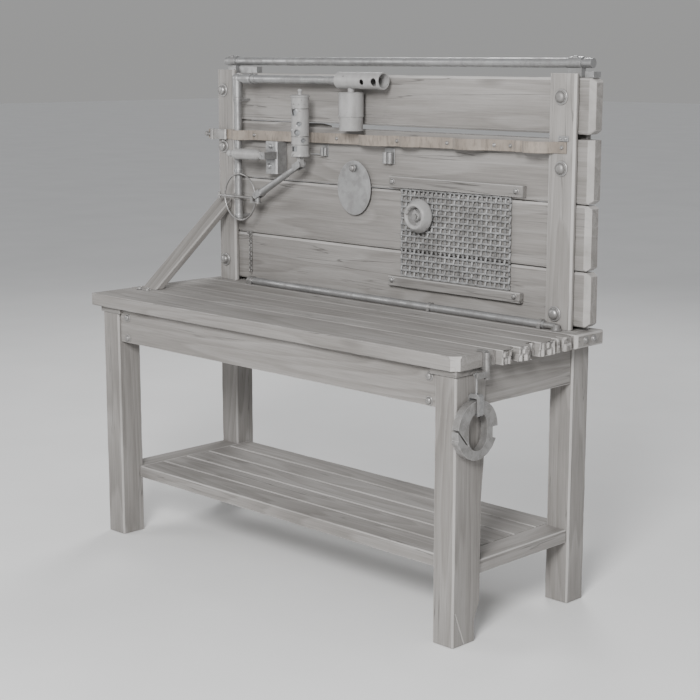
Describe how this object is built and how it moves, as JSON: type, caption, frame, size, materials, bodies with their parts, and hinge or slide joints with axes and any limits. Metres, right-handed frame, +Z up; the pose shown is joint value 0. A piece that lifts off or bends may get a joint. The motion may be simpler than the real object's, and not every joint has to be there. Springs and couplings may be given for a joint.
{
  "type": "workbench with tool wall",
  "caption": "Timber workbench with a lower shelf, a plank tool wall, a swing lamp on a pole, a lantern arm, a lever, a mesh panel with a reel and a hanging shackle.",
  "frame": {"origin": "centre of the footprint, on the floor", "axes": "+X along the bench to the right as seen from the front, +Y from the open front edge towards the tool wall, +Z up"},
  "size_m": [1.8203, 0.697, 1.7555],
  "materials": {
    "timber": "weathered, dry, unvarnished",
    "timber_dark": "weathered, darker",
    "steel": "dull, worn",
    "dark_steel": "oiled, dark",
    "hide": "worn, greyed",
    "enamel": "satin, light grey",
    "glow": "frosted"
  },
  "bodies": {
    "bench": {"leg_front_left": "timber", "leg_front_right": "timber", "leg_rear_left": "timber", "leg_rear_right": "timber", "leg_caps": "timber_dark", "apron_front": "timber", "apron_rear": "timber", "apron_left": "timber", "apron_right": "timber", "frame_bolts": "dark_steel", "top_board_1": "timber", "top_board_2": "timber", "top_board_3": "timber", "top_board_4": "timber", "top_board_5": "timber", "top_board_6": "timber", "shelf_slat_1": "timber", "shelf_slat_2": "timber", "shelf_slat_3": "timber", "shelf_slat_4": "timber", "shelf_slat_5": "timber", "shelf_ends": "timber", "upright_left": "timber", "upright_right": "timber", "rear_battens": "timber_dark", "wall_plank_1": "timber", "wall_plank_2": "timber", "wall_plank_3": "timber", "wall_plank_4": "timber", "wall_bolts": "dark_steel", "brace": "timber", "top_pipe": "steel", "pipe_saddles": "steel", "low_pipe": "steel", "pipe_fittings": "dark_steel", "tool_strap": "hide", "strap_studs": "dark_steel", "tool_clips": "steel", "mesh_panel": "steel", "mesh_battens": "timber_dark", "mesh_knobs": "dark_steel", "wall_pegs": "dark_steel", "lamp_pole": "steel", "hoop_bracket": "dark_steel", "lever_bracket": "steel", "hanger_clip": "dark_steel"},
    "boom": {"lamp_boom": "steel"},
    "head": {"lamp_head": "enamel", "lamp_shade": "enamel", "lamp_bulb": "glow"},
    "arm_base": {"arm_swivel": "steel"},
    "arm": {"arm_link": "steel"},
    "lantern_body": {"lantern": "enamel"},
    "lever_arm": {"lever": "enamel"},
    "plate": {"swing_plate": "steel"},
    "spool": {"reel": "enamel"},
    "chain_drop": {"chain": "dark_steel"},
    "hook": {"hanger_hook": "steel"},
    "ring": {"shackle": "dark_steel"}
  },
  "joints": [
    {"name": "boom_swivel", "type": "hinge", "parent": "bench", "child": "boom", "pos_m": [-0.7, 0.205, 1.67], "axis": [0, 0, 1], "range_deg": [-110, 0]},
    {"name": "head_roll", "type": "hinge", "parent": "boom", "child": "head", "pos_m": [-0.155, 0.205, 1.67], "axis": [1, 0, 0], "range_deg": [-60, 0]},
    {"name": "arm_turn", "type": "hinge", "parent": "bench", "child": "arm_base", "pos_m": [-0.556, 0.172, 1.236], "axis": [0, 0, 1], "range_deg": [-100, 0]},
    {"name": "arm_pitch", "type": "hinge", "parent": "arm_base", "child": "arm", "pos_m": [-0.556, 0.172, 1.246], "axis": [0, 1, 0], "range_deg": [0, 45]},
    {"name": "lantern_tilt", "type": "hinge", "parent": "arm", "child": "lantern_body", "pos_m": [-0.324, 0.172, 1.37], "axis": [0, 1, 0], "range_deg": [-45, 30]},
    {"name": "lever_lift", "type": "hinge", "parent": "bench", "child": "lever_arm", "pos_m": [-0.505, 0.16, 1.395], "axis": [0, 1, 0], "range_deg": [0, 75]},
    {"name": "plate_swing", "type": "hinge", "parent": "bench", "child": "plate", "pos_m": [-0.127, 0.2475, 1.364], "axis": [0, 1, 0], "range_deg": [-35, 35]},
    {"name": "reel_spin", "type": "hinge", "parent": "bench", "child": "spool", "pos_m": [0.196, 0.2245, 1.218], "axis": [0, 1, 0], "continuous": true},
    {"name": "chain_swing", "type": "hinge", "parent": "bench", "child": "chain_drop", "pos_m": [-0.682, 0.243, 1.092], "axis": [0, 1, 0], "range_deg": [-20, 20]},
    {"name": "hook_swing", "type": "hinge", "parent": "bench", "child": "hook", "pos_m": [0.882, -0.26, 0.836], "axis": [1, 0, 0], "range_deg": [-30, 30]},
    {"name": "shackle_swing", "type": "hinge", "parent": "hook", "child": "ring", "pos_m": [0.878, -0.26, 0.71985], "axis": [1, 0, 0], "range_deg": [-25, 25]}
  ]
}
